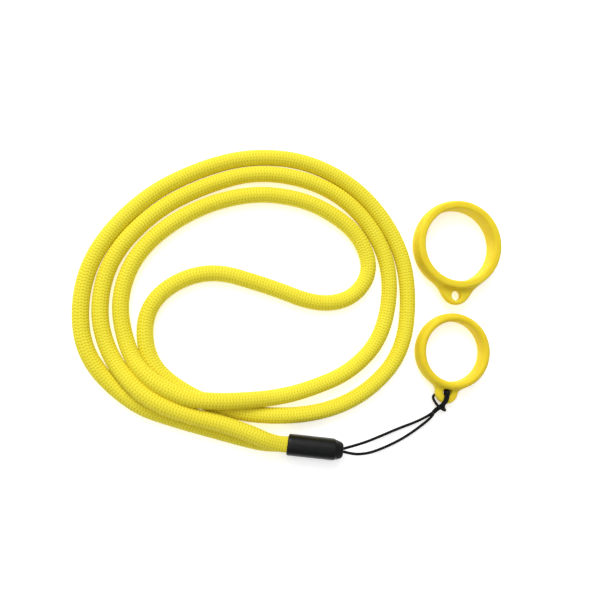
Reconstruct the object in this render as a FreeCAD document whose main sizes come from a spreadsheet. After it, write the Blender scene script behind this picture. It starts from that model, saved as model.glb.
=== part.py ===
"""Neck lanyard: a braided cord loop, its end ferrule, a hitch string, a holder ring and a spare ring.

Millimetres, +Z up from the surface that everything lies on. The origin is on that surface, in the
middle of the footprint of the ferrule and the two rings. +X runs from the coiled cord towards the
rings, and the rings' lugs point roughly along -Y. The layout below is drawn from the holder ring's
axis and moved to the origin as it is built.
"""
import FreeCAD, Part
import math
import os
import Sketcher

os.makedirs("parts", exist_ok=True)
V = FreeCAD.Vector
UP = V(0, 0, 1)

doc = FreeCAD.newDocument("lanyard")

SIZES = [
    ("cord_diameter", 6.0),
    ("core_diameter", 4.1),
    ("sheath_bore", 4.2),
    ("ferrule_length", 20.6),
    ("ferrule_width", 7.8),
    ("ferrule_height", 8.4),
    ("ferrule_corner", 3.2),
    ("nose_taper", 1.4),
    ("nose_length", 3.4),
    ("mouth_width", 5.9),
    ("mouth_height", 7.0),
    ("mouth_corner", 2.3),
    ("mouth_depth", 17.2),
    ("nose_hole", 2.4),
    ("band_length", 4.0),
    ("band_start", 8.0),
    ("band_width", 5.6),
    ("band_height", 6.7),
    ("band_corner", 2.1),
    ("band_inner_width", 4.8),
    ("band_inner_height", 5.9),
    ("band_inner_corner", 1.7),
    ("tail_width", 5.5),
    ("tail_height", 3.3),
    ("crimped_width", 4.7),
    ("crimped_height", 2.85),
    ("string_diameter", 0.9),
    ("knot_length", 2.2),
    ("knot_diameter", 3.4),
    ("holder_bore_radius", 11.7),
    ("holder_wall", 2.9),
    ("holder_height", 7.4),
    ("holder_crown", 0.5),
    ("holder_edge", 1.15),
    ("spare_bore_radius", 14.2),
    ("spare_wall", 3.2),
    ("spare_height", 8.4),
    ("spare_crown", 0.45),
    ("spare_edge", 0.9),
    ("lug_thickness", 3.0),
    ("holder_hole_reach", 15.85),
    ("holder_tip_reach", 15.85),
    ("holder_tip_radius", 4.4),
    ("holder_hole_radius", 1.7),
    ("spare_hole_reach", 19.8),
    ("spare_tip_reach", 18.6),
    ("spare_tip_radius", 4.6),
    ("spare_hole_radius", 1.95),
]


def make_sheet():
    """Every size in one sheet, as plain numbers with aliases."""
    page = doc.addObject("Spreadsheet::Sheet", "sizes")
    for row, (name, value) in enumerate(SIZES, start=1):
        page.set("A%d" % row, name)
        page.set("B%d" % row, str(value))
        page.setAlias("B%d" % row, name)
    doc.recompute()
    return page


sheet = make_sheet()


def size(name):
    return float(sheet.get(name))


# The origin, measured from the holder ring's axis
ORIGIN = V(-22.775, 9.345, 0)


def laid(x, y, z=0.0):
    """A point of the layout, in the part's frame."""
    return V(x, y, z) - ORIGIN


# Where the pieces lie
FERRULE_MOUTH = laid(-64.9, -33.9, 4.2)
FERRULE_TURN = -7.5
HOLDER_CENTRE = laid(0, 0)
HOLDER_LUG_TURN = -10.0
SPARE_CENTRE = laid(2.4, 41.5)
SPARE_LUG_TURN = -3.0

# The neck cord's centre line, from beside the ferrule, three times round and back to it
CORD_ROUTE = [
    (-77.5, -32.5, 3), (-91, -28.5, 3), (-106, -24, 3), (-121, -18.5, 3), (-137.5, -2, 3),
    (-140, 19, 3), (-134, 38, 3), (-117.5, 56.5, 3), (-98, 67.5, 3), (-78.5, 73.5, 3),
    (-56.5, 72.5, 3), (-36, 62, 3), (-21.5, 44, 3), (-16.5, 24.5, 3), (-19.5, 0, 3),
    (-34.5, -16, 3), (-54, -23.5, 3), (-79, -23.5, 3), (-100.5, -16.5, 3), (-115.5, -2.5, 3),
    (-117.5, 18.5, 3), (-96, 31, 3), (-72, 24.5, 3), (-53.5, 17.5, 3), (-39.5, 20, 3),
    (-32, 31, 3), (-36.5, 44, 3), (-47, 52.5, 3), (-60, 58, 3), (-78.5, 59.5, 3),
    (-100.5, 52.5, 3), (-119.5, 37.5, 3), (-126.5, 19.5, 3), (-122.5, 2, 3), (-115.5, -8.5, 7.5),
    (-102.5, -16, 9.5), (-92, -17.5, 9.5), (-81, -17.5, 7), (-70, -17, 3), (-58, -14.5, 3),
    (-40, -7.5, 3), (-27, 7, 3), (-23, 31.5, 3), (-33.5, 51.5, 3), (-51, 64, 3),
    (-74.5, 67.5, 3), (-96, 61.5, 3), (-114.5, 51, 3), (-129.5, 34, 3), (-133.5, 14.5, 3),
    (-129, -1.5, 3), (-120, -12.5, 7), (-112, -18.5, 8.5), (-100.5, -23, 8.5), (-89, -26, 8.5),
    (-78, -30, 8.5),
]

# The two legs of the hitch string, from the ferrule's nose to the hitch
FAR_LEG = [
    (-43.6, -36.2, 4.2), (-39.2, -35.1, 3.5), (-34.2, -34.0, 2.2), (-28.8, -32.3, 1.1), (-21, -28.9, 0.6),
    (-13.6, -26.0, 1.1), (-8.5, -23.5, 2.1),
]
NEAR_LEG = [
    (-43.7, -37.2, 4.2), (-40.3, -38.2, 3.7), (-36.2, -38.5, 2.7), (-30.8, -37.9, 1.3), (-21, -33.8, 0.6),
    (-13.6, -28.8, 1.1), (-8.0, -24.5, 2.1),
]

# The hitch round the holder ring's lug: outward from the lug's hole, sideways, height
HITCH = [
    (8.4, -3.75, 2.3), (7.3, -2.6, 2.8), (6.4, -1.7, 3.4), (5.7, -1.2, 4.6), (4.6, -0.6, 6.0),
    (3.2, -0.25, 5.9), (1.5, -0.3, 5.9), (0.1, -0.8, 5.2), (-0.1, -0.75, 1.8), (0.8, -2.1, 1.25),
    (1.9, -3.8, 1.25), (3.0, -5.1, 2.1), (4.0, -4.6, 3.5), (5.4, -3.4, 4.2), (6.7, -1.9, 4.6),
    (7.5, -0.5, 4.3), (7.5, 0.8, 3.4), (6.8, 1.4, 2.3), (5.4, 1.1, 1.45), (3.0, 0.5, 1.45),
    (1.4, 0.2, 1.5), (0.6, 0.1, 2.5), (0.5, 0.1, 5.2), (1.6, 0.7, 6.0), (3.2, 0.75, 5.9),
    (4.7, 0.4, 6.0), (5.9, -0.15, 4.6), (6.9, -0.75, 3.4), (7.95, -1.85, 2.7), (9.1, -3.0, 2.3),
]


def turned(x, y, degrees):
    """A plan vector turned about +Z."""
    a = math.radians(degrees)
    return V(x * math.cos(a) - y * math.sin(a), x * math.sin(a) + y * math.cos(a), 0)


FERRULE_AXIS = turned(1, 0, FERRULE_TURN)
HOLDER_OUT = turned(0, -1, HOLDER_LUG_TURN)
HOLDER_SIDE = turned(1, 0, HOLDER_LUG_TURN)
HOLDER_HOLE = HOLDER_CENTRE + HOLDER_OUT * size("holder_hole_reach")


# Paths and sweeps

def smooth_path(points, note):
    """Straight runs joined by tangent arcs, each as large as its two runs allow."""
    edges = []
    radii = []
    start = points[0]
    for before, here, after in zip(points, points[1:], points[2:]):
        back = (before - here).normalize()
        ahead = (after - here).normalize()
        turn = math.pi - back.getAngle(ahead)
        cut = 0.45 * min((before - here).Length, (after - here).Length)
        radius = cut / math.tan(turn / 2)
        radii.append(radius)
        bisector = (back + ahead).normalize()
        centre = here + bisector * (radius / math.cos(turn / 2))
        first = here + back * cut
        middle = centre - bisector * radius
        last = here + ahead * cut
        edges.append(Part.LineSegment(start, first).toShape())
        edges.append(Part.Arc(first, middle, last).toShape())
        start = last
    edges.append(Part.LineSegment(start, points[-1]).toShape())
    wire = Part.Wire(edges)
    print("%s: %d points, length %.1f, radii %s" % (
        note, len(points), wire.Length, " ".join("%.1f" % r for r in radii)))
    return wire


def round_tube(path, diameter):
    """A solid round rod along a path."""
    start = path.OrderedVertexes[0].Point
    heading = path.OrderedEdges[0].tangentAt(path.OrderedEdges[0].FirstParameter)
    profile = Part.Wire(Part.Circle(start, heading, diameter / 2).toShape())
    rod = path.makePipeShell([profile], True, False)
    if rod.Volume < 0:
        rod.reverse()
    return rod


def check_volume(name, shape, area, length):
    """Compares a swept solid with its section times its length."""
    print("%s: volume %.1f, section x length %.1f" % (name, shape.Volume, area * length))


def oval(centre, heading, width, height):
    """A closed wire across a heading, its width level: round, or a full oval when it is flattened."""
    side = UP.cross(heading).normalize()
    rise = heading.cross(side).normalize()
    count = 20
    power = 1.0 if abs(width - height) < 0.01 else 0.87
    points = []
    for k in range(count):
        a = 2 * math.pi * k / count
        across = math.copysign(abs(math.cos(a)) ** power, math.cos(a)) * width / 2
        upward = math.copysign(abs(math.sin(a)) ** power, math.sin(a)) * height / 2
        points.append(centre + side * across + rise * upward)
    curve = Part.BSplineCurve()
    curve.interpolate(points, PeriodicFlag=True)
    return Part.Wire(curve.toShape())


def add_solid(label, shape):
    """A node whose shape is made by code."""
    feature = doc.addObject("Part::Feature", label)
    feature.Label = label
    feature.Shape = shape
    return feature


# Neck cord

cord_route = [laid(*p) for p in CORD_ROUTE]
cord_path = smooth_path(cord_route, "neck cord")


def make_neck_cord():
    """The braided sheath as a tube and the filler core inside it."""
    outer = round_tube(cord_path, size("cord_diameter"))
    inner = round_tube(cord_path, size("sheath_bore"))
    sheath = outer.cut(inner)
    core = round_tube(cord_path, size("core_diameter"))
    ring = math.pi / 4 * (size("cord_diameter") ** 2 - size("sheath_bore") ** 2)
    check_volume("neck_cord_sheath", sheath, ring, cord_path.Length)
    check_volume("neck_cord_core", core, math.pi / 4 * size("core_diameter") ** 2, cord_path.Length)
    add_solid("neck_cord_sheath", sheath)
    add_solid("neck_cord_core", core)


def make_tail(label, end, before, level):
    """A cord end squeezed from round to a flat oval on its way into the ferrule and its band."""
    heading = (end - before).normalize()
    wide, tall = size("tail_width"), size("tail_height")
    pinched_wide, pinched_tall = size("crimped_width"), size("crimped_height")
    mouth = FERRULE_MOUTH + UP * (level * (tall / 2 + 0.03))
    pinch = FERRULE_MOUTH + UP * (level * (pinched_tall / 2 + 0.03))
    reach = (mouth - end).Length
    corner = (end + heading * (reach / 2) + mouth - FERRULE_AXIS * (reach / 2)) * 0.5
    wires = []
    for k in range(6):
        u = k / 5
        spot = end * (1 - u) ** 2 + corner * (2 * u * (1 - u)) + mouth * u ** 2
        along = ((corner - end) * (1 - u) + (mouth - corner) * u).normalize()
        share = u * u * (3 - 2 * u)
        width = size("cord_diameter") * (1 - share) + wide * share
        height = size("cord_diameter") * (1 - share) + tall * share
        wires.append(oval(spot, heading if k == 0 else along, width, height))
    inner = [(2.0, mouth, wide, tall), (4.5, (mouth + pinch) * 0.5, (wide + pinched_wide) / 2, 3.1)]
    end_depth = size("band_start") + size("band_length") + 0.5
    inner += [(size("band_start") - 1, pinch, pinched_wide, pinched_tall)]
    inner += [(end_depth, pinch, pinched_wide, pinched_tall)]
    for depth, centre, width, height in inner:
        wires.append(oval(centre + FERRULE_AXIS * depth, FERRULE_AXIS, width, height))
    add_solid(label, Part.makeLoft(wires, True, True))


# Bodies drawn with sketches

def start_body(label):
    body = doc.addObject("PartDesign::Body", label)
    body.Label = label
    return body


def add_sketch(body, name, role, rise=0.0):
    """A sketch on one of the body's own origin planes."""
    sketch = body.newObject("Sketcher::SketchObject", name)
    plane = [f for f in body.Origin.OriginFeatures if f.Role == role][0]
    sketch.AttachmentSupport = [(plane, "")]
    sketch.MapMode = "FlatFace"
    sketch.AttachmentOffset = FreeCAD.Placement(V(0, 0, rise), FreeCAD.Rotation())
    return sketch


def draw_rounded_box(sketch, width, height, corner):
    """A centred rounded rectangle whose width, height and corner radius follow the sheet."""
    half_w, half_h, r = size(width) / 2, size(height) / 2, size(corner)
    ends = [
        (V(-half_w + r, half_h), V(half_w - r, half_h)),
        (V(half_w, half_h - r), V(half_w, -half_h + r)),
        (V(half_w - r, -half_h), V(-half_w + r, -half_h)),
        (V(-half_w, -half_h + r), V(-half_w, half_h - r)),
    ]
    centres = [V(half_w - r, half_h - r), V(half_w - r, r - half_h), V(r - half_w, r - half_h),
               V(r - half_w, half_h - r)]
    first = sketch.GeometryCount
    for a, b in ends:
        sketch.addGeometry(Part.LineSegment(a, b), False)
    for k, centre in enumerate(centres):
        circle = Part.Circle(centre, V(0, 0, 1), r)
        low = math.radians(-90 * k)
        sketch.addGeometry(Part.ArcOfCircle(circle, low, low + math.pi / 2), False)
    for k in range(4):
        line, after, arc = first + k, first + (k + 1) % 4, first + 4 + k
        sketch.addConstraint(Sketcher.Constraint("Tangent", line, 2, arc, 2))
        sketch.addConstraint(Sketcher.Constraint("Tangent", after, 1, arc, 1))
    for k in range(3):
        sketch.addConstraint(Sketcher.Constraint("Equal", first + 4 + k, first + 5 + k))
    for k, kind in enumerate(("Horizontal", "Vertical", "Horizontal", "Vertical")):
        sketch.addConstraint(Sketcher.Constraint(kind, first + k))
    sketch.addConstraint(Sketcher.Constraint("Symmetric", first, 1, first + 2, 1, -1, 1))
    bound = [("Distance", (first + 1, first + 3), width), ("Distance", (first, first + 2), height)]
    for kind, (a, b), alias in bound:
        index = sketch.addConstraint(Sketcher.Constraint(kind, a, 1, b, size(alias)))
        sketch.setExpression("Constraints[%d]" % index, "sizes.%s" % alias)
    index = sketch.addConstraint(Sketcher.Constraint("Radius", first + 4, size(corner)))
    sketch.setExpression("Constraints[%d]" % index, "sizes.%s" % corner)


def pad(body, sketch, name, length, midplane=False):
    feature = body.newObject("PartDesign::Pad", name)
    feature.Profile = sketch
    feature.setExpression("Length", length)
    feature.Midplane = midplane
    doc.recompute()
    return feature


def pocket(body, sketch, name, length, reverse=False, midplane=False):
    """A pocket that must take material away."""
    before = body.Shape.Volume
    feature = body.newObject("PartDesign::Pocket", name)
    feature.Profile = sketch
    feature.setExpression("Length", length)
    feature.Reversed = reverse
    feature.Midplane = midplane
    doc.recompute()
    if not feature.Shape.Volume < before - 0.01:
        raise RuntimeError("%s cuts nothing" % name)
    return feature


def edges_where(shape, test):
    return ["Edge%d" % k for k, edge in enumerate(shape.Edges, start=1) if test(edge)]


def along_ferrule():
    """A body drawn across +Z is laid along the ferrule, its own +Y upwards."""
    upright = FreeCAD.Rotation(UP.cross(FERRULE_AXIS), UP, FERRULE_AXIS, "ZYX")
    return FreeCAD.Placement(FERRULE_MOUTH, upright)


def make_ferrule():
    """Moulded sleeve: open mouth for the two cord ends, a tapered nose with the string's hole."""
    body = start_body("ferrule_sleeve")
    outline = add_sketch(body, "ferrule_outline", "XY_Plane")
    draw_rounded_box(outline, "ferrule_width", "ferrule_height", "ferrule_corner")
    barrel = pad(body, outline, "ferrule_barrel", "sizes.ferrule_length")
    nose = body.newObject("PartDesign::Chamfer", "ferrule_nose_taper")
    far = size("ferrule_length")
    nose.Base = (barrel, edges_where(barrel.Shape, lambda e: min(v.Z for v in e.Vertexes) > far - 0.01))
    nose.ChamferType = "Two distances"
    nose.FlipDirection = True
    nose.setExpression("Size", "sizes.nose_taper")
    nose.setExpression("Size2", "sizes.nose_length")
    doc.recompute()
    lip = body.newObject("PartDesign::Fillet", "ferrule_mouth_edge")
    lip.Base = (nose, edges_where(nose.Shape, lambda e: max(v.Z for v in e.Vertexes) < 0.01))
    lip.Radius = 0.5
    doc.recompute()
    inside = add_sketch(body, "ferrule_inside", "XY_Plane")
    draw_rounded_box(inside, "mouth_width", "mouth_height", "mouth_corner")
    pocket(body, inside, "ferrule_mouth", "sizes.mouth_depth", reverse=True)
    hole = add_sketch(body, "ferrule_hole", "XY_Plane")
    hole.addGeometry(Part.Circle(V(0, 0), V(0, 0, 1), size("nose_hole") / 2), False)
    hole.addConstraint(Sketcher.Constraint("Coincident", 0, 3, -1, 1))
    hole.addConstraint(Sketcher.Constraint("Diameter", 0, size("nose_hole")))
    hole.setExpression("Constraints[1]", "sizes.nose_hole")
    pocket(body, hole, "ferrule_string_hole", "sizes.ferrule_length + 1", reverse=True)
    body.Placement = along_ferrule()


def make_band():
    """Metal band pressed round both cord ends inside the ferrule."""
    body = start_body("crimp_band")
    outline = add_sketch(body, "band_outline", "XY_Plane")
    draw_rounded_box(outline, "band_width", "band_height", "band_corner")
    pad(body, outline, "band_block", "sizes.band_length")
    inside = add_sketch(body, "band_inside", "XY_Plane")
    draw_rounded_box(inside, "band_inner_width", "band_inner_height", "band_inner_corner")
    pocket(body, inside, "band_hollow", "sizes.band_length", reverse=True)
    start = FERRULE_MOUTH + FERRULE_AXIS * size("band_start")
    body.Placement = FreeCAD.Placement(start, along_ferrule().Rotation)


def make_knot():
    """Stopper knot on the string's two ends, in the space between the band and the nose."""
    knot = doc.addObject("Part::Ellipsoid", "string_stopper_knot")
    knot.Label = "string_stopper_knot"
    knot.setExpression("Radius1", "sizes.knot_length / 2")
    knot.setExpression("Radius2", "sizes.knot_diameter / 2")
    knot.setExpression("Radius3", "sizes.knot_diameter / 2")
    knot.Angle1 = -90
    centre = FERRULE_MOUTH + FERRULE_AXIS * (size("mouth_depth") - size("knot_length") / 2 - 0.1)
    knot.Placement = FreeCAD.Placement(centre, along_ferrule().Rotation)


def make_string():
    """The string's stub in the nose, its two legs and the hitch on the holder ring's lug."""
    thick = size("string_diameter")
    area = math.pi / 4 * thick ** 2
    stubs = []
    side = UP.cross(FERRULE_AXIS).normalize()
    for way in (-1, 1):
        base = FERRULE_MOUTH + FERRULE_AXIS * (size("mouth_depth") - 0.1) + side * (way * 0.5)
        stubs.append(Part.makeCylinder(thick / 2, size("ferrule_length") - size("mouth_depth") + 0.3,
                                       base, FERRULE_AXIS))
    add_solid("string_stub", Part.makeCompound(stubs))
    for label, route in (("string_leg_far", FAR_LEG), ("string_leg_near", NEAR_LEG)):
        path = smooth_path([laid(*p) for p in route], label)
        leg = round_tube(path, thick)
        check_volume(label, leg, area, path.Length)
        add_solid(label, leg)
    placed = []
    for reach, aside, height in HITCH:
        spot = HOLDER_HOLE + HOLDER_OUT * reach + HOLDER_SIDE * aside
        placed.append(V(spot.x, spot.y, height))
    path = smooth_path(placed, "string_hitch")
    hitch = round_tube(path, thick)
    check_volume("string_hitch", hitch, area, path.Length)
    add_solid("string_hitch", hitch)


def draw_ring_section(sketch, bore, wall, height, crown):
    """Half section of a ring: straight bore, flat ends and a crowned outside."""
    r_in = size(bore)
    r_out = r_in + size(wall) - size(crown)
    tall = size(height)
    low_in, low_out = V(r_in, 0), V(r_out, 0)
    top_in, top_out = V(r_in, tall), V(r_out, tall)
    sketch.addGeometry(Part.LineSegment(top_in, low_in), False)
    sketch.addGeometry(Part.LineSegment(low_in, low_out), False)
    sketch.addGeometry(Part.Arc(low_out, V(r_in + size(wall), tall / 2), top_out), False)
    sketch.addGeometry(Part.LineSegment(top_out, top_in), False)
    for a, b in ((0, 1), (2, 3)):
        sketch.addConstraint(Sketcher.Constraint("Coincident", a, 2, b, 1))
    sketch.addConstraint(Sketcher.Constraint("Coincident", 3, 2, 0, 1))
    sketch.addConstraint(Sketcher.Constraint("Coincident", 1, 2, 2, 1))
    sketch.addConstraint(Sketcher.Constraint("Vertical", 0))
    sketch.addConstraint(Sketcher.Constraint("Horizontal", 1))
    sketch.addConstraint(Sketcher.Constraint("Horizontal", 3))
    sketch.addConstraint(Sketcher.Constraint("PointOnObject", 0, 2, -1))
    bound = [
        (("DistanceX", -1, 1, 0, 2, r_in), "sizes.%s" % bore),
        (("DistanceY", 0, 2, 0, 1, tall), "sizes.%s" % height),
        (("DistanceX", 1, 1, 1, 2, r_out - r_in), "sizes.%s - sizes.%s" % (wall, crown)),
    ]
    for parts, formula in bound:
        index = sketch.addConstraint(Sketcher.Constraint(*parts))
        sketch.setExpression("Constraints[%d]" % index, formula)
    sketch.addConstraint(Sketcher.Constraint("Vertical", 1, 2, 2, 2))


def draw_lug(sketch, ring_reach, tip_reach, tip_radius):
    """A tab along -Y: a round tip with sides that flare towards the ring."""
    flare = tip_radius + 0.9
    gap = tip_reach - ring_reach
    lean = math.atan2(flare - tip_radius, gap)
    touch = V(tip_radius * math.cos(lean), -tip_reach - tip_radius * math.sin(lean))
    root = V(flare, -ring_reach)
    sketch.addGeometry(Part.LineSegment(V(-root.x, root.y), V(-touch.x, touch.y)), False)
    sketch.addGeometry(Part.Arc(V(-touch.x, touch.y), V(0, -tip_reach - tip_radius), touch), False)
    sketch.addGeometry(Part.LineSegment(touch, root), False)
    sketch.addGeometry(Part.LineSegment(root, V(-root.x, root.y)), False)
    for k in range(4):
        sketch.addConstraint(Sketcher.Constraint("Coincident", k, 2, (k + 1) % 4, 1))


def make_ring(label, kind, centre, lug_turn):
    """A moulded ring with a crowned outside and a flat tab that has a hole for the string."""
    body = start_body(label)
    section = add_sketch(body, "%s_section" % label, "XZ_Plane")
    names = ["%s_%s" % (kind, word) for word in ("bore_radius", "wall", "height", "crown")]
    draw_ring_section(section, *names)
    band = body.newObject("PartDesign::Revolution", "%s_band" % label)
    band.Profile = section
    band.ReferenceAxis = ([f for f in body.Origin.OriginFeatures if f.Role == "Z_Axis"][0], [""])
    band.Angle = 360
    doc.recompute()
    soft = body.newObject("PartDesign::Fillet", "%s_soft_edges" % label)
    soft.Base = (band, edges_where(band.Shape, lambda e: len(e.Vertexes) == 1
                                   and e.Length > 2 * math.pi * size("%s_bore_radius" % kind) - 0.1
                                   and abs(e.tangentAt(e.FirstParameter).z) < 0.01))
    soft.setExpression("Radius", "sizes.%s_edge" % kind)
    doc.recompute()
    middle = size("%s_height" % kind) / 2
    tab = add_sketch(body, "%s_lug_outline" % label, "XY_Plane", middle)
    inner_reach = size("%s_bore_radius" % kind) + size("%s_wall" % kind) * 0.45
    draw_lug(tab, inner_reach, size("%s_tip_reach" % kind), size("%s_tip_radius" % kind))
    pad(body, tab, "%s_lug" % label, "sizes.lug_thickness", midplane=True)
    hole = add_sketch(body, "%s_lug_hole" % label, "XY_Plane", middle)
    reach = size("%s_hole_reach" % kind)
    hole.addGeometry(Part.Circle(V(0, -reach), V(0, 0, 1), size("%s_hole_radius" % kind)), False)
    hole.addConstraint(Sketcher.Constraint("PointOnObject", 0, 3, -2))
    hole.addConstraint(Sketcher.Constraint("DistanceY", 0, 3, -1, 1, reach))
    hole.setExpression("Constraints[1]", "sizes.%s_hole_reach" % kind)
    hole.addConstraint(Sketcher.Constraint("Radius", 0, size("%s_hole_radius" % kind)))
    hole.setExpression("Constraints[2]", "sizes.%s_hole_radius" % kind)
    pocket(body, hole, "%s_string_hole" % label, "sizes.lug_thickness + 0.4", midplane=True)
    body.Placement = FreeCAD.Placement(centre, FreeCAD.Rotation(UP, lug_turn))


def write_out():
    """Checks every object and writes each sub-part to its own STEP file."""
    doc.recompute()
    for thing in doc.Objects:
        if "Invalid" in thing.State or "Error" in thing.State:
            raise RuntimeError("%s: %s" % (thing.Name, thing.State))
    tops = [o for o in doc.Objects if o.TypeId in ("PartDesign::Body", "Part::Feature", "Part::Ellipsoid")]
    for thing in tops:
        shape = thing.Shape
        if shape.isNull() or not shape.isValid():
            raise RuntimeError("%s has no valid shape" % thing.Label)
        shape.exportStep("parts/%s.step" % thing.Label)
        box = shape.BoundBox
        print("%-20s solids %d volume %9.2f  z %.2f to %.2f" % (
            thing.Label, len(shape.Solids), shape.Volume, box.ZMin, box.ZMax))


make_neck_cord()
make_tail("neck_cord_tail_lower", cord_route[0], cord_route[1], -1)
make_tail("neck_cord_tail_upper", cord_route[-1], cord_route[-2], 1)
make_ferrule()
make_band()
make_knot()
make_string()
make_ring("holder_ring", "holder", HOLDER_CENTRE, HOLDER_LUG_TURN)
make_ring("spare_ring", "spare", SPARE_CENTRE, SPARE_LUG_TURN)
write_out()
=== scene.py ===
"""Neck lanyard: a braided cord loop, its end ferrule, a hitch string, a holder ring and a spare ring."""
import math
import bpy
import numpy as np
from mathutils import Matrix, Vector


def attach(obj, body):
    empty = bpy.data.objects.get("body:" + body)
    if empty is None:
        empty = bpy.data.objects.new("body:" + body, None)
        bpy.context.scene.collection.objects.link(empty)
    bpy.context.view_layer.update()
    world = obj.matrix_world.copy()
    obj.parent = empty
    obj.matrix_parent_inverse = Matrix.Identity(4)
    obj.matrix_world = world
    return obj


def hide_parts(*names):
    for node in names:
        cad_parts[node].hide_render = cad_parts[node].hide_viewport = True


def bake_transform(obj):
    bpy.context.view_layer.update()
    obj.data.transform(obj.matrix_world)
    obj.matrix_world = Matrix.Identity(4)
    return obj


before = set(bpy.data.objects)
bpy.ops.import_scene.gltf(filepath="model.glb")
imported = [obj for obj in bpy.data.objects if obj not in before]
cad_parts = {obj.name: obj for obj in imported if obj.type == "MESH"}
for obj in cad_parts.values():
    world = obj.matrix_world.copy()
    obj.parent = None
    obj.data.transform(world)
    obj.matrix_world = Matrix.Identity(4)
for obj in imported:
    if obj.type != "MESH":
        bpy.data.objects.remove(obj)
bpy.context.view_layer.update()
scene = bpy.context.scene

UP = np.array([0.0, 0.0, 1.0])
ORIGIN = (-0.022775, 0.009345)


def laid(x, y, z=0.0):
    """A point of the layout, in the row's frame, in metres."""
    return (x - ORIGIN[0], y - ORIGIN[1], z)


def level_way(degrees):
    """A level direction, turned by so many degrees from +X towards +Y."""
    return np.array([math.cos(math.radians(degrees)), math.sin(math.radians(degrees)), 0.0])


# Camera

camera_data = bpy.data.cameras.new("camera")
camera_data.sensor_width = 36
camera_data.lens = 41.05
camera_data.clip_start = 0.01
camera = bpy.data.objects.new("camera", camera_data)
camera.location = (-0.0846, -0.00717, 0.25496)
look = (Vector((-0.036725, 0.010255, 0)) - camera.location).normalized()
right = look.cross(Vector((0, 1, 0))).normalized()
camera.rotation_euler = Matrix((right, right.cross(look), -look)).transposed().to_euler()
scene.collection.objects.link(camera)
scene.camera = camera


# Sizes and routes

# Braid: a stitch's length in metres, and its lean from one side of its column to the other, in stitches.
STITCH = 0.00112
CHEVRON = 0.4

FERRULE_MOUTH = np.array(laid(-0.0649, -0.0339, 0.0042))
FERRULE_AXIS = level_way(-7.5)

# How far each ring is turned from having its lug along -Y, in degrees.
HOLDER_TURN = -10
SPARE_TURN = -3
HOLDER_OUT = level_way(HOLDER_TURN - 90)
HOLDER_SIDE = level_way(HOLDER_TURN)

# Rings, in mm. Reaches go from the bore's axis, crown is how far the outside draws in towards the rims.
HOLDER_SIZES = dict(bore=11.7, wall=2.9, height=7.4, crown=0.3, edge=1.3, tip_reach=15.85, tip_radius=4.4,
                    hole_reach=15.85, hole_radius=1.7, flare=3.0)
SPARE_SIZES = dict(bore=14.2, wall=3.2, height=8.4, crown=0.45, edge=0.8, tip_reach=18.6, tip_radius=4.6,
                   hole_reach=19.8, hole_radius=1.95, flare=9.0)
LUG_HALF_THICKNESS = 1.5
LUG_EDGE = 0.85
LUG_FILLET = 2.0
HOLE_FILLET = 0.45
SKIN_STEP = 0.30

# Neck cord, in metres: half width and half height where it is crimped and just inside the mouth, where from
# its ends it widens to these and to its free round shape, and the points that lead it into the ferrule.
CORD_RADIUS = 0.00302
CRIMPED = (0.00235, 0.00143)
IN_MOUTH = (0.0029, 0.00167)
FREE_FROM, FREE_LENGTH = 0.0105, 0.0125
PINCH_FROM, PINCH_LENGTH = 0.0055, 0.005
CORD_RELIEF = 0.00008
CORD_ENDS = [(0.0115, 0.00146), (0.0058, 0.00146), (0.0008, 0.0017)]

# String, in metres: its own sizes, half the gap between its legs at the nose, and the knot's place and size.
STRING_RADIUS = 0.00055
LEG_HALF_GAP = 0.00048
STRING_STITCH = 0.00042
STRING_RELIEF = 0.00004
KNOT_DEPTH = 0.016
KNOT_SIZE = 0.0004
KNOT_POINTS = 26

# Ferrule, in mm: each row has depth from the mouth, half width and half height, and a squareness where it
# varies, 2 being an ellipse. MOUTH_SIZE is the lip's half width and half height.
SQUARENESS = 2.6
NOSE_HOLE = [(17.15, 1.2, 1.2, 2.0), (18.2, 1.2, 1.2, 2.0), (19.4, 1.2, 1.2, 2.0), (19.8, 1.26, 1.26, 2.0),
             (20.1, 1.42, 1.42, 2.0), (20.34, 1.72, 1.72, 2.0), (20.5, 2.05, 2.06, 2.0),
             (20.58, 2.3, 2.35, 2.1), (20.58, 2.5, 2.66, 2.3), (20.52, 2.67, 2.87, 2.5),
             (20.4, 2.79, 3.0, 2.6)]
NOSE = [(16.0, 3.98, 4.22), (17.2, 3.97, 4.2), (17.35, 3.95, 4.18), (17.5, 3.90, 4.13), (17.65, 3.83, 4.07),
        (18.3, 3.57, 3.84), (20.2, 2.9, 3.12)]
NOSE_STEP = 0.11
BODY_DEPTHS = (14.0, 12.0, 10.0, 8.0, 6.0, 4.0, 2.4, 1.4)
BODY_TAPER = 0.004
LIP_RADIUS = 0.62
LIP_STEPS = 8
MOUTH_SIZE = (3.92, 4.16)
INNER_WALL = [(0.0, 3.15, 3.56, 3.0), (0.06, 3.0, 3.53, 3.0), (0.25, 2.95, 3.5, 3.0), (1.0, 2.94, 3.49, 3.0),
              (5.0, 2.93, 3.48, 3.0), (10.0, 2.92, 3.47, 3.0), (16.6, 2.91, 3.46, 3.0),
              (17.0, 2.8, 3.3, 2.9), (17.15, 2.5, 2.9, 2.6)]
SEAM_DEPTHS = (1.0, 17.4)
SEAM_HEIGHT = 0.015
SEAM_WIDTH = 0.10
DIMPLES_FROM = 18.5
DIMPLE_DEPTH = 0.11
DIMPLE_PITCH = 0.68
DIMPLE_WAVES = 26
MOUTH_RISE = 4.2
MOUTH_SHEAR = 0.95
SHEARED_DEPTH = 3.0
SHOULDER_FROM = 16.9
SHOULDER_TO = 20.1
SHOULDER_BOW = 0.33

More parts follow.
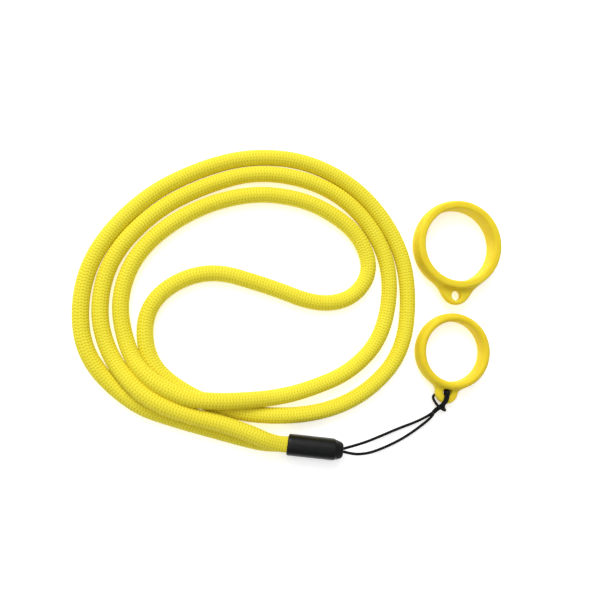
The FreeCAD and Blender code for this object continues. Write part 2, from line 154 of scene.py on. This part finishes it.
CORD_ROUTE = [
    (-0.0713, -0.03369, 0.00276),
    (-0.0775, -0.0325, 0.003), (-0.091, -0.0285, 0.003), (-0.106, -0.024, 0.003),
    (-0.121, -0.0185, 0.003), (-0.1375, -0.002, 0.003), (-0.14, 0.019, 0.003),
    (-0.134, 0.038, 0.003), (-0.1175, 0.0565, 0.003), (-0.098, 0.0675, 0.003),
    (-0.0785, 0.0735, 0.003), (-0.0565, 0.0725, 0.003), (-0.036, 0.062, 0.003),
    (-0.0218, 0.0438, 0.003), (-0.0169, 0.0245, 0.003), (-0.0195, 0.0, 0.003),
    (-0.0345, -0.016, 0.003), (-0.054, -0.0235, 0.003), (-0.079, -0.0235, 0.003),
    (-0.1005, -0.0165, 0.003), (-0.1167, -0.0034, 0.003), (-0.1168, 0.0185, 0.003),
    (-0.096, 0.031, 0.003), (-0.072, 0.0245, 0.003), (-0.0535, 0.0175, 0.003),
    (-0.0395, 0.02, 0.003), (-0.032, 0.031, 0.003), (-0.0365, 0.044, 0.003),
    (-0.047, 0.0525, 0.003), (-0.06, 0.058, 0.003), (-0.0785, 0.0595, 0.003),
    (-0.1005, 0.0525, 0.003), (-0.1195, 0.0375, 0.003), (-0.1265, 0.0195, 0.003),
    (-0.1232, 0.0016, 0.003), (-0.1162, -0.0091, 0.0075), (-0.1028, -0.0163, 0.0095),
    (-0.092, -0.0175, 0.0095), (-0.081, -0.0175, 0.007), (-0.07, -0.017, 0.003),
    (-0.058, -0.0145, 0.003), (-0.04, -0.0075, 0.003), (-0.027, 0.007, 0.003),
    (-0.0239, 0.0318, 0.003), (-0.0339, 0.0514, 0.003), (-0.051, 0.064, 0.003),
    (-0.0752, 0.068, 0.003), (-0.096, 0.0615, 0.003), (-0.1145, 0.051, 0.003),
    (-0.1295, 0.034, 0.003), (-0.1335, 0.0145, 0.003), (-0.129, -0.0015, 0.003),
    (-0.12, -0.0125, 0.007), (-0.1119, -0.0182, 0.0085), (-0.1004, -0.0225, 0.0085),
    (-0.0888, -0.0255, 0.0085), (-0.0778, -0.0297, 0.0085), (-0.07163, -0.03269, 0.00719),
]

FAR_LEG = [
    (-0.0436, -0.0362, 0.0042), (-0.0392, -0.0351, 0.0035), (-0.0342, -0.034, 0.0022),
    (-0.0288, -0.0323, 0.0011), (-0.021, -0.0294, 0.0007), (-0.0136, -0.0269, 0.0011),
    (-0.0085, -0.0242, 0.0021),
]

NEAR_LEG = [
    (-0.0437, -0.0372, 0.0042), (-0.0403, -0.0382, 0.0037), (-0.0362, -0.0385, 0.0027),
    (-0.0308, -0.0379, 0.0013), (-0.021, -0.0342, 0.0007), (-0.0136, -0.0297, 0.0011),
    (-0.008, -0.0252, 0.0021),
]

# The hitch, from the lug hole's axis: outward along the lug, sideways, and height above the floor.
HITCH = [
    (0.0086, -0.0037, 0.0023), (0.0078, -0.0033, 0.0027), (0.007, -0.0029, 0.0033),
    (0.0062, -0.0025, 0.0042), (0.0055, -0.0021, 0.0053), (0.0044, -0.0015, 0.006),
    (0.003, -0.0009, 0.006), (0.0012, -0.0008, 0.006), (-0.0006, -0.0009, 0.0052),
    (-0.0006, -0.0009, 0.0018), (0.0005, -0.0019, 0.0012), (0.0018, -0.0036, 0.0012),
    (0.0028, -0.0044, 0.002), (0.0041, -0.0041, 0.0035), (0.0052, -0.0036, 0.0048),
    (0.0062, -0.0025, 0.0057), (0.0068, -0.0009, 0.0057), (0.007, 0.0005, 0.0042),
    (0.0068, 0.001, 0.0025), (0.006, 0.0009, 0.0014), (0.0045, 0.0009, 0.0013),
    (0.001, 0.0006, 0.0013), (-0.0008, 0.0001, 0.0025), (-0.0009, 0.0, 0.0052),
    (-0.0002, -0.0001, 0.0065), (0.0013, -0.0001, 0.0066), (0.003, -0.0002, 0.0066),
    (0.0043, -0.0008, 0.0066), (0.0056, -0.0014, 0.0055), (0.0065, -0.0018, 0.0043),
    (0.0074, -0.0023, 0.0033), (0.0082, -0.0028, 0.0026), (0.0089, -0.0031, 0.0023),
]


# Frames along a route

def unit(a):
    """The vectors along the last axis, made one long."""
    return a / np.maximum(np.linalg.norm(a, axis=-1, keepdims=True), 1e-12)


def spline_points(name, points, fineness):
    """The route's own smooth line: a quadratic NURBS spline through its control points."""
    curve = bpy.data.curves.new(name, "CURVE")
    curve.dimensions = "3D"
    curve.resolution_u = fineness
    spline = curve.splines.new("NURBS")
    spline.points.add(len(points) - 1)
    for point, p in zip(spline.points, points):
        point.co = (p[0], p[1], p[2], 1)
    spline.order_u = 3
    spline.use_endpoint_u = True
    holder = bpy.data.objects.new(name, curve)
    scene.collection.objects.link(holder)
    bpy.context.view_layer.update()
    mesh = bpy.data.meshes.new_from_object(holder)
    line = np.array([v.co[:] for v in mesh.vertices])
    bpy.data.objects.remove(holder)
    bpy.data.meshes.remove(mesh)
    bpy.data.curves.remove(curve)
    keep = np.r_[True, np.linalg.norm(np.diff(line, axis=0), axis=1) > 1e-7]
    return line[keep]


class Line:
    """A line with its length and a steady side and rise at each point."""

    def __init__(self, points, level):
        self.points = points
        steps = np.linalg.norm(np.diff(points, axis=0), axis=1)
        self.at = np.r_[0, np.cumsum(steps)]
        self.length = self.at[-1]
        self.heading = unit(np.gradient(points, self.at, axis=0))
        if level:
            self.side = unit(np.cross(UP, self.heading))
        else:
            sides = [unit(np.cross(UP, self.heading[0]))]
            for heading in self.heading[1:]:
                sides.append(unit(sides[-1] - heading * np.dot(sides[-1], heading)))
            self.side = np.array(sides)

    def look(self, table, s):
        return np.stack([np.interp(s, self.at, table[:, k]) for k in range(3)], axis=-1)

    def frames(self, s):
        """Points, sides and rises at the lengths s."""
        heading = unit(self.look(self.heading, s))
        side = self.look(self.side, s)
        side = unit(side - heading * np.sum(side * heading, axis=-1, keepdims=True))
        return self.look(self.points, s), side, np.cross(heading, side)


def mesh_from(name, verts, quads, extra=(), uv=None):
    """A smooth mesh from arrays: quads as a table, extra as a list of other faces."""
    mesh = bpy.data.meshes.new(name)
    faces = [tuple(q) for q in quads.tolist()] + [tuple(f) for f in extra]
    mesh.from_pydata(verts.tolist(), [], faces)
    mesh.polygons.foreach_set("use_smooth", np.ones(len(faces), dtype=bool))
    if uv is not None:
        layer = mesh.uv_layers.new(name="lay")
        flat = np.zeros((len(mesh.loops), 2))
        flat[:len(uv)] = uv
        layer.data.foreach_set("uv", flat.ravel())
    mesh.validate()
    obj = bpy.data.objects.new(name, mesh)
    scene.collection.objects.link(obj)
    return obj


def braided(name, line, columns, pitch, shape, relief, round_ends=0.0):
    """A braided tube. Its stitches lie side by side in columns and lean to and fro, in chevron ribs.
    shape(s) gives half the width and half the height there. Three rings of vertices per stitch."""
    count = max(4, round(line.length / pitch))
    pitch = line.length / count
    rings = np.arange(3 * count + 1)
    spokes = np.arange(2 * columns)
    zigzag = CHEVRON * np.array([0.5, 1, 0.5, 0])[spokes % 4]
    lay = rings[:, None] / 3 + zigzag[None, :]
    s = np.clip((lay - CHEVRON / 2) * pitch, 0, line.length)
    crest = (rings % 3 == 0)[:, None]
    middle = (spokes % 2 == 0)[None, :]
    # The middles of the stitches stand out, and the corners between them lie deepest.
    sunk = np.where(middle, np.where(crest, 0.0, 0.62), np.where(crest, 0.34, 1.0)) * relief
    wide, tall = shape(s)
    if round_ends:
        near = np.minimum(s, line.length - s)
        bow = np.sqrt(np.clip(1 - (1 - np.clip(near / round_ends, 0, 1)) ** 2, 0.02, 1))
        wide, tall = wide * bow, tall * bow
    angle = 2 * math.pi * spokes / len(spokes)
    flat = np.clip(1 - tall / wide, 0, 1)
    power = 1 - 0.3 * flat
    across = np.sign(np.cos(angle)) * np.abs(np.cos(angle)) ** power
    upward = np.sign(np.sin(angle)) * np.abs(np.sin(angle)) ** power
    spot, side, rise = line.frames(s)
    verts = spot + side * (across * (wide - sunk))[..., None] + rise * (upward * (tall - sunk))[..., None]
    n, m = len(rings), len(spokes)
    low = line.frames(np.array([0.0]))[0][0]
    high = line.frames(np.array([line.length]))[0][0]
    verts = np.vstack([verts.reshape(-1, 3), low, high])
    i, j = np.meshgrid(np.arange(n - 1), np.arange(m), indexing="ij")
    k = (j + 1) % m
    quads = np.stack([i * m + j, i * m + k, (i + 1) * m + k, (i + 1) * m + j], axis=-1).reshape(-1, 4)
    uv = np.stack([
        np.stack([j, j + 1, j + 1, j], axis=-1) / 2,
        np.stack([i / 3 + zigzag[j], i / 3 + zigzag[k], (i + 1) / 3 + zigzag[k], (i + 1) / 3 + zigzag[j]],
                 axis=-1)],
        axis=-1).reshape(-1, 2)
    caps = [(n * m, (q + 1) % m, q) for q in range(m)]
    caps += [(n * m + 1, (n - 1) * m + q, (n - 1) * m + (q + 1) % m) for q in range(m)]
    return mesh_from(name, verts, quads, caps, uv)


def round_shape(radius):
    """A shape for braided() that is round with one radius all along."""
    return lambda s: (np.full_like(s, radius), np.full_like(s, radius))


# Node helpers

def new_material(name):
    material = bpy.data.materials.new(name)
    material.use_nodes = True
    nodes, links = material.node_tree.nodes, material.node_tree.links
    return material, nodes, links, nodes["Principled BSDF"]


def plug(links, socket, value):
    """A link from another socket, or a plain value."""
    if isinstance(value, bpy.types.NodeSocket):
        links.new(value, socket)
    elif value is not None:
        socket.default_value = value


def sums(nodes, links, operation, a, b=None, c=None):
    """A math node's output, each input a socket or a number."""
    node = nodes.new("ShaderNodeMath")
    node.operation = operation
    for socket, value in zip(node.inputs, (a, b, c)):
        plug(links, socket, value)
    return node.outputs[0]


def noise(nodes, links, scale, detail=4.0, roughness=0.55, vector=None):
    node = nodes.new("ShaderNodeTexNoise")
    node.inputs["Scale"].default_value = scale
    node.inputs["Detail"].default_value = detail
    node.inputs["Roughness"].default_value = roughness
    if vector is None:
        vector = nodes.new("ShaderNodeTexCoord").outputs["Object"]
    links.new(vector, node.inputs["Vector"])
    return node.outputs["Fac"]


def span(nodes, links, value, low, high, to_low=0.0, to_high=1.0):
    """The value eased from the range low..high to the range to_low..to_high."""
    node = nodes.new("ShaderNodeMapRange")
    node.interpolation_type = "SMOOTHSTEP"
    plug(links, node.inputs["Value"], value)
    for socket, number in zip(node.inputs[1:5], (low, high, to_low, to_high)):
        socket.default_value = number
    return node.outputs[0]


def blend_colours(nodes, links, factor, a, b):
    node = nodes.new("ShaderNodeMix")
    node.data_type = "RGBA"
    plug(links, node.inputs["Factor"], factor)
    for socket, colour in ((node.inputs["A"], a), (node.inputs["B"], b)):
        plug(links, socket, colour if isinstance(colour, bpy.types.NodeSocket) else (*colour, 1))
    return node.outputs["Result"]


def bump(nodes, links, height, strength, distance, after=None):
    node = nodes.new("ShaderNodeBump")
    node.inputs["Strength"].default_value = strength
    node.inputs["Distance"].default_value = distance
    links.new(height, node.inputs["Height"])
    if after is not None:
        links.new(after, node.inputs["Normal"])
    return node.outputs["Normal"]


def braid_material(name, light, dark, painted_groove_shade, stitch_size, roughness, tint):
    """Braided yarn: slanted stitches mirrored from column to column, fine filaments, and painted shade in
    the gaps between stitches.
    """
    material, nodes, links, shader = new_material(name)
    where = nodes.new("ShaderNodeUVMap")
    where.uv_map = "lay"
    split = nodes.new("ShaderNodeSeparateXYZ")
    links.new(where.outputs[0], split.inputs[0])
    across, along = split.outputs["X"], split.outputs["Y"]
    column = sums(nodes, links, "ROUND", across)
    x = sums(nodes, links, "SUBTRACT", across, column)
    odd = sums(nodes, links, "FLOORED_MODULO", column, 2.0)
    lean = sums(nodes, links, "MULTIPLY_ADD", odd, 2 * CHEVRON, -CHEVRON)
    slant = sums(nodes, links, "MULTIPLY", x, lean)
    shifted = sums(nodes, links, "ADD", sums(nodes, links, "ADD", along, slant), 0.5 - CHEVRON / 2)
    y = sums(nodes, links, "SUBTRACT", sums(nodes, links, "FRACT", shifted), 0.5)
    x2 = sums(nodes, links, "MULTIPLY", x, x)
    y2 = sums(nodes, links, "MULTIPLY", y, y)
    far = sums(nodes, links, "ADD", sums(nodes, links, "MULTIPLY", x2, 2.2),
               sums(nodes, links, "MULTIPLY", y2, 3.6))
    grain = span(nodes, links, far, 1.05, 0.15)
    yarn = nodes.new("ShaderNodeCombineXYZ")
    links.new(sums(nodes, links, "MULTIPLY", across, 1.6), yarn.inputs[0])
    links.new(sums(nodes, links, "MULTIPLY", shifted, 7.5), yarn.inputs[1])
    filament = noise(nodes, links, 1.0, 3.0, 0.6, yarn.outputs[0])
    patch = noise(nodes, links, 60.0, 3.0)
    speck = noise(nodes, links, 900.0, 3.0)
    body = blend_colours(nodes, links, span(nodes, links, patch, 0.3, 0.7), light, tint)
    body = blend_colours(nodes, links, span(nodes, links, filament, 0.62, 0.3, 0.0, 0.5), body, dark)
    body = blend_colours(nodes, links, span(nodes, links, speck, 0.6, 0.75, 0.0, 0.25), body, dark)
    # Painted shade: the gaps between stitches take the darker, more orange groove colour, standing in for
    # the shade where stitches meet.
    colour = blend_colours(nodes, links, span(nodes, links, grain, 0.0, 0.75), painted_groove_shade, body)
    links.new(colour, shader.inputs["Base Color"])
    links.new(span(nodes, links, filament, 0.2, 0.8, roughness - 0.08, roughness + 0.1),
              shader.inputs["Roughness"])
    shader.inputs["Specular IOR Level"].default_value = 0.14
    first = bump(nodes, links, grain, 0.55, stitch_size * 0.14)
    links.new(bump(nodes, links, filament, 0.4, stitch_size * 0.07, first), shader.inputs["Normal"])
    return material


def silicone_material(name, light, deep):
    """Moulded silicone: satin, slightly clear, with a fine matt grain and faint dust."""
    material, nodes, links, shader = new_material(name)
    cloud = noise(nodes, links, 90.0, 3.0)
    grain = noise(nodes, links, 2600.0, 4.0, 0.7)
    dust = noise(nodes, links, 1400.0, 6.0, 0.75)
    colour = blend_colours(nodes, links, span(nodes, links, cloud, 0.35, 0.65), light, deep)
    specks = span(nodes, links, dust, 0.66, 0.78, 0.0, 0.12)
    colour = blend_colours(nodes, links, specks, colour, (0.95, 0.86, 0.55))
    links.new(colour, shader.inputs["Base Color"])
    links.new(span(nodes, links, grain, 0.3, 0.7, 0.60, 0.70), shader.inputs["Roughness"])
    shader.inputs["Subsurface Weight"].default_value = 0.45
    shader.inputs["Subsurface Radius"].default_value = (1.0, 0.55, 0.12)
    shader.inputs["Subsurface Scale"].default_value = 0.0018
    shader.inputs["Specular IOR Level"].default_value = 0.2
    links.new(bump(nodes, links, grain, 0.25, 0.00004), shader.inputs["Normal"])
    return material


def plastic_material(name):
    """Black moulded plastic: half gloss with a fine texture, scuffs and pale rubbed specks."""
    material, nodes, links, shader = new_material(name)
    grain = noise(nodes, links, 3200.0, 5.0, 0.7)
    cloud = noise(nodes, links, 260.0, 4.0)
    scuff = noise(nodes, links, 700.0, 8.0, 0.75)
    dark = blend_colours(nodes, links, span(nodes, links, cloud, 0.3, 0.7), (0.0018, 0.002, 0.0024),
                         (0.003, 0.0032, 0.0037))
    worn = span(nodes, links, scuff, 0.62, 0.78, 0.0, 0.25)
    links.new(blend_colours(nodes, links, worn, dark, (0.014, 0.014, 0.015)), shader.inputs["Base Color"])
    links.new(span(nodes, links, cloud, 0.25, 0.75, 0.34, 0.42), shader.inputs["Roughness"])
    shader.inputs["Specular IOR Level"].default_value = 0.32
    links.new(bump(nodes, links, grain, 0.3, 0.00006), shader.inputs["Normal"])
    return material


def steel_material(name):
    """Pressed steel band: brushed round, with darker rub marks."""
    material, nodes, links, shader = new_material(name)
    stretched = nodes.new("ShaderNodeMapping")
    links.new(nodes.new("ShaderNodeTexCoord").outputs["Object"], stretched.inputs["Vector"])
    stretched.inputs["Scale"].default_value = (6000, 300, 300)
    brush = noise(nodes, links, 1.0, 5.0, 0.6, stretched.outputs[0])
    colour = blend_colours(nodes, links, brush, (0.42, 0.42, 0.43), (0.66, 0.65, 0.63))
    links.new(colour, shader.inputs["Base Color"])
    shader.inputs["Metallic"].default_value = 1.0
    links.new(span(nodes, links, brush, 0.2, 0.8, 0.28, 0.42), shader.inputs["Roughness"])
    links.new(bump(nodes, links, brush, 0.2, 0.00002), shader.inputs["Normal"])
    return material


# The third colour of each cloth is painted shade for the gaps between stitches.
CORD_CLOTH = braid_material("cord_cloth", (0.90, 0.82, 0.058), (0.80, 0.67, 0.034), (0.745, 0.575, 0.02),
                            STITCH, 0.7, (0.88, 0.78, 0.048))
STRING_CLOTH = braid_material("string_cloth", (0.006, 0.006, 0.007), (0.003, 0.003, 0.004),
                              (0.001, 0.001, 0.001), 0.0005, 0.65, (0.008, 0.008, 0.009))
SILICONE = silicone_material("ring_silicone", (0.83, 0.67, 0.03), (0.79, 0.61, 0.022))
BLACK_PLASTIC = plastic_material("ferrule_plastic")
STEEL = steel_material("crimp_steel")


def dress(obj, material):
    """The one material of a piece."""
    obj.data.materials.clear()
    obj.data.materials.append(material)


# Neck cord

def cord_end(way, depth, rise):
    """A point inside the ferrule, above its axis where way is 1 and below it where way is -1."""
    return tuple(FERRULE_MOUTH + FERRULE_AXIS * depth + UP * (way * rise))


neck_points = [cord_end(-1, *p) for p in CORD_ENDS]
neck_points += [laid(*p) for p in CORD_ROUTE]
neck_points += [cord_end(1, *p) for p in reversed(CORD_ENDS)]
neck_line = Line(spline_points("neck_cord_line", neck_points, 12), level=True)


def neck_shape(s):
    """Round along the loop, squeezed to a flat oval at both ends, and more so in the crimp."""
    near = np.minimum(s, neck_line.length - s)
    free = np.clip((near - FREE_FROM) / FREE_LENGTH, 0, 1)
    free = free * free * (3 - 2 * free)
    pinch = np.clip((near - PINCH_FROM) / PINCH_LENGTH, 0, 1)
    wide = CRIMPED[0] + (IN_MOUTH[0] - CRIMPED[0]) * pinch
    tall = CRIMPED[1] + (IN_MOUTH[1] - CRIMPED[1]) * pinch
    return wide + (CORD_RADIUS - wide) * free, tall + (CORD_RADIUS - tall) * free


neck_cord = braided("neck_cord", neck_line, 16, STITCH, neck_shape, CORD_RELIEF)
dress(neck_cord, CORD_CLOTH)
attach(neck_cord, "lanyard")
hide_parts("neck_cord_sheath", "neck_cord_core", "neck_cord_tail_lower",
            "neck_cord_tail_upper")


# String: knot and stub in the ferrule, two legs, the hitch on the lug

string_side = np.cross(UP, FERRULE_AXIS)
PIVOT = np.array(laid(-0.0442, -0.0366, 0.0042))
PIVOT_AXIS = unit(np.array([0.329, -0.9443, 0.0]))
leg_starts = {"far": PIVOT - PIVOT_AXIS * LEG_HALF_GAP, "near": PIVOT + PIVOT_AXIS * LEG_HALF_GAP}


def place_string(name, points, body, replaced):
    """A length of string along the points, riding on the body if one is named."""
    line = Line(spline_points(name + "_line", points, 8), level=False)
    piece = braided(name, line, 8, STRING_STITCH, round_shape(STRING_RADIUS), STRING_RELIEF, STRING_RADIUS)
    dress(piece, STRING_CLOTH)
    if replaced:
        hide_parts(*replaced)
    if body:
        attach(piece, body)
    return piece, line


lug_hole = np.array(laid(-0.002752, -0.015609))


def at_lug(outward, sideways, height):
    """A point beside the smaller ring's lug, in the row's frame."""
    return tuple(lug_hole + HOLDER_OUT * outward + HOLDER_SIDE * sideways + UP * height)


hitch_points = [at_lug(*p) for p in HITCH]
hitch, hitch_line = place_string("string_loop", hitch_points, "hitch", ("string_hitch",))

for label, route, hitch_end in (("far", FAR_LEG, hitch_points[0]), ("near", NEAR_LEG, hitch_points[-1])):
    points = [tuple(leg_starts[label])] + [laid(*p) for p in route[1:]]
    points.append(tuple(np.array(hitch_end) + (np.array(hitch_end) - np.array(points[-1])) * 0.1))
    leg, leg_line = place_string("string_" + label, points, None, ("string_leg_" + label,))
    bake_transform(leg)

knot_centre = FERRULE_MOUTH + FERRULE_AXIS * KNOT_DEPTH


def knot_point(t):
    """An overhand knot: a trefoil lying across the ferrule's axis."""
    a = (math.sin(t) + 2 * math.sin(2 * t)) * KNOT_SIZE
    b = (math.cos(t) - 2 * math.cos(2 * t)) * KNOT_SIZE
    c = -math.sin(3 * t) * KNOT_SIZE * 1.05
    return tuple(knot_centre + string_side * a + UP * b + FERRULE_AXIS * c)


knot_points = [knot_point(0.15 + 2 * math.pi * k / KNOT_POINTS) for k in range(KNOT_POINTS)]
place_string("string_knot", knot_points, "lanyard", ("string_stopper_knot",))
for label, way in (("near", -1), ("far", 1)):
    inner = knot_centre + FERRULE_AXIS * 0.0006 + string_side * (way * 0.0005)
    middle = knot_centre + FERRULE_AXIS * 0.003 + string_side * (way * 0.00047)
    outer = leg_starts[label] + FERRULE_AXIS * 0.00005
    stub_points = [tuple(inner), tuple(middle), tuple(outer)]
    place_string("string_stub_" + label, stub_points, "lanyard", ())[0]
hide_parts("string_stub")


# Ferrule

def ferrule_rings():
    """Depth, half width, half height and squareness, from the hole's inner end over the outside,
    round the mouth's lip and down the inside wall."""
    rings = list(NOSE_HOLE)
    depths, widths, heights = zip(*NOSE)
    for depth in np.arange(depths[-1], depths[0], -NOSE_STEP):
        rings.append((depth, float(np.interp(depth, depths, widths)),
                      float(np.interp(depth, depths, heights)), SQUARENESS))
    for depth in BODY_DEPTHS:
        taper = BODY_TAPER * (depths[0] - depth)
        rings.append((depth, widths[0] - taper, heights[0] - taper, SQUARENESS))
    for k in range(1, LIP_STEPS + 1):
        a = math.pi / 2 * k / LIP_STEPS
        drawn_in = LIP_RADIUS * (1 - math.cos(a))
        rings.append((LIP_RADIUS * (1 - math.sin(a)), MOUTH_SIZE[0] - drawn_in, MOUTH_SIZE[1] - drawn_in,
                      SQUARENESS + 0.04 * k))
    return rings + INNER_WALL


def ferrule_mesh():
    """The rings joined up, with a seam, a dimpled nose, a sheared mouth and a bowed shoulder."""
    rings = ferrule_rings()
    count = 128
    angle = 2 * math.pi * np.arange(count) / count
    verts = []
    for depth, w, h, square in rings:
        across = np.sign(np.cos(angle)) * np.abs(np.cos(angle)) ** (2 / square) * w
        upward = np.sign(np.sin(angle)) * np.abs(np.sin(angle)) ** (2 / square) * h
        if SEAM_DEPTHS[0] < depth < SEAM_DEPTHS[1] and w > 3.2:
            across = across + np.sign(across) * np.exp(-(upward / SEAM_WIDTH) ** 2) * SEAM_HEIGHT
        if DIMPLES_FROM < depth <= NOSE[-1][0] and w > 2.5:
            wave = math.sin(2 * math.pi * (depth - DIMPLES_FROM) / DIMPLE_PITCH)
            dots = DIMPLE_DEPTH * wave * np.sin(DIMPLE_WAVES * angle)
            across, upward = across * (1 - dots / w), upward * (1 - dots / h)
        along = np.full(count, float(depth))
        if w > 2.5 and depth < SHEARED_DEPTH:
            along -= MOUTH_SHEAR * (1 - depth / SHEARED_DEPTH) * upward / MOUTH_RISE
        if SHOULDER_FROM < depth < SHOULDER_TO and w > 2.6:
            bow = np.clip((depth - SHOULDER_FROM) / 0.8, 0, 1) * np.clip((SHOULDER_TO - depth) / 1.5, 0, 1)
            along -= SHOULDER_BOW * bow * (1 - (np.abs(across) / w) ** 2)
        spot = FERRULE_MOUTH + FERRULE_AXIS * (along * 1e-3)[:, None]
        verts.append(spot + string_side * (across * 1e-3)[:, None] + UP * (upward * 1e-3)[:, None])
    n, m = len(rings), count
    i, j = np.meshgrid(np.arange(n), np.arange(m), indexing="ij")
    k, o = (j + 1) % m, (i + 1) % n
    quads = np.stack([i * m + j, o * m + j, o * m + k, i * m + k], axis=-1).reshape(-1, 4)
    return mesh_from("ferrule", np.vstack(verts), quads)


ferrule = ferrule_mesh()
dress(ferrule, BLACK_PLASTIC)
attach(ferrule, "lanyard")
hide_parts("ferrule_sleeve")
dress(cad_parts["crimp_band"], STEEL)


# Rings

def smooth_least(a, b, k):
    """The lesser of two distances, with a fillet of about k."""
    h = np.clip(0.5 + 0.5 * (b - a) / k, 0, 1)
    return b + (a - b) * h - k * h * (1 - h)


def ring_distance(p, bore, wall, height, crown, edge, tip_reach, tip_radius, hole_reach, hole_radius,
                  flare):
    """Distance in mm from the ring's surface, with its lug along -Y, less than 0 inside."""
    x, y, z = p[..., 0], p[..., 1], p[..., 2] - height / 2
    r = np.hypot(x, y)
    r_mid = bore + wall / 2
    out = r - r_mid + np.where(r > r_mid, crown * (z / (height / 2)) ** 2, 0)
    qx = np.abs(out) - wall / 2 + edge
    qz = np.abs(z) - height / 2 + edge
    band = np.hypot(np.maximum(qx, 0), np.maximum(qz, 0)) + np.minimum(np.maximum(qx, qz), 0) - edge
    tip = np.hypot(x, y + tip_reach) - tip_radius
    disc = r - (bore + wall * 0.80)
    plan = smooth_least(tip, disc, flare)
    plan = np.maximum(plan, bore + wall * 0.45 - r)
    px = plan + LUG_EDGE
    pz = np.abs(z) - LUG_HALF_THICKNESS + LUG_EDGE
    lug = np.hypot(np.maximum(px, 0), np.maximum(pz, 0)) + np.minimum(np.maximum(px, pz), 0) - LUG_EDGE
    solid = smooth_least(band, lug, LUG_FILLET)
    bored = np.maximum(np.hypot(x, y + hole_reach) - hole_radius, np.abs(z) - LUG_HALF_THICKNESS - 0.5)
    return -smooth_least(-solid, bored, HOLE_FILLET)


def skin(distance, low, high, step):
    """A closed surface where distance is 0: one vertex in each crossed cell, drawn onto the surface."""
    axes = [np.arange(a, b + step, step) for a, b in zip(low, high)]
    grid = np.stack(np.meshgrid(*axes, indexing="ij"), axis=-1)
    field = distance(grid)
    inside = field < 0
    corner = [inside[a:inside.shape[0] - 1 + a, b:inside.shape[1] - 1 + b, c:inside.shape[2] - 1 + c]
              for a in (0, 1) for b in (0, 1) for c in (0, 1)]
    total = sum(c.astype(int) for c in corner)
    cells = (total > 0) & (total < 8)
    index = np.full(cells.shape, -1)
    index[cells] = np.arange(cells.sum())
    verts = grid[:-1, :-1, :-1][cells] + step / 2
    for _ in range(6):
        slope = np.stack([(distance(verts + d) - distance(verts - d)) / 0.02
                          for d in np.eye(3) * 0.01], axis=-1)
        size = np.maximum(np.sum(slope ** 2, axis=-1, keepdims=True), 0.05)
        verts = verts - np.clip(distance(verts)[:, None] * slope / size, -step, step)
    quads = []
    for axis in range(3):
        a, b = [k for k in range(3) if k != axis]
        here = np.moveaxis(inside, (axis, a, b), (0, 1, 2))
        cell = np.moveaxis(index, (axis, a, b), (0, 1, 2))
        lower, upper = here[:-1, 1:-1, 1:-1], here[1:, 1:-1, 1:-1]
        around = np.stack([cell[:, :-1, :-1], cell[:, 1:, :-1], cell[:, 1:, 1:], cell[:, :-1, 1:]], axis=-1)
        rising, falling = around[lower & ~upper], around[~lower & upper]
        if axis == 1:
            rising, falling = falling, rising
        quads += [rising, falling[:, ::-1]]
    return verts, np.vstack(quads)


def make_ring(name, node, centre, turn, sizes, body):
    """A ring on the floor at the centre, turned by the degrees in turn from its lug along -Y."""
    reach = sizes["tip_reach"] + sizes["tip_radius"] + 1
    outer = sizes["bore"] + sizes["wall"] + 1
    verts, quads = skin(lambda p: ring_distance(p, **sizes), (-outer, -reach, -0.8),
                        (outer, outer, sizes["height"] + 0.8), SKIN_STEP)
    c, s = math.cos(math.radians(turn)), math.sin(math.radians(turn))
    turned = np.stack([verts[:, 0] * c - verts[:, 1] * s, verts[:, 0] * s + verts[:, 1] * c, verts[:, 2]],
                      axis=-1)
    ring = mesh_from(name, turned * 1e-3 + np.array(centre), quads)
    dress(ring, SILICONE)
    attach(ring, body)
    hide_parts(node)


make_ring("small_ring", "holder_ring", laid(0, 0), HOLDER_TURN, HOLDER_SIZES, "holder")
make_ring("large_ring", "spare_ring", laid(0.0024, 0.0415), SPARE_TURN, SPARE_SIZES, "spare")


# Floor and lights

FLOOR_HALF = 1.5
FLOOR_LEVEL = -0.0001
floor_corners = [(x * FLOOR_HALF, y * FLOOR_HALF, FLOOR_LEVEL)
                 for x, y in ((-1, -1), (1, -1), (1, 1), (-1, 1))]
floor_mesh = bpy.data.meshes.new("floor")
floor_mesh.from_pydata(floor_corners, [], [(0, 1, 2, 3)])
floor = bpy.data.objects.new("floor", floor_mesh)
scene.collection.objects.link(floor)
floor_paint, _, _, floor_shader = new_material("floor_paint")
floor_shader.inputs["Base Color"].default_value = (0.93, 0.93, 0.93, 1)
floor_shader.inputs["Roughness"].default_value = 0.9
floor_shader.inputs["Specular IOR Level"].default_value = 0.1
floor_shader.inputs["Emission Color"].default_value = (1, 1, 1, 1)
floor_shader.inputs["Emission Strength"].default_value = 0.45
floor_mesh.materials.append(floor_paint)


def area_light(name, spot, aim, width, power):
    data = bpy.data.lights.new(name, "AREA")
    data.shape = "SQUARE"
    data.size = width
    data.energy = power
    lamp = bpy.data.objects.new(name, data)
    lamp.location = spot
    lamp.rotation_euler = (Vector(aim) - Vector(spot)).to_track_quat("-Z", "Y").to_euler()
    scene.collection.objects.link(lamp)


area_light("key_light", (-0.22, 0.74, 0.64), (-0.03, 0.01, 0), 0.60, 6.1)
area_light("fill_light", (-0.55, -0.35, 0.45), (-0.05, 0.0, 0), 0.60, 0.38)
area_light("top_light", (-0.22, 0.30, 0.90), (-0.03, 0.01, 0), 0.90, 4.5)
world = bpy.data.worlds.new("studio")
world.use_nodes = True
world.node_tree.nodes["Background"].inputs["Color"].default_value = (1, 1, 1, 1)
world.node_tree.nodes["Background"].inputs["Strength"].default_value = 0.29
scene.world = world
scene.view_settings.view_transform = "Standard"
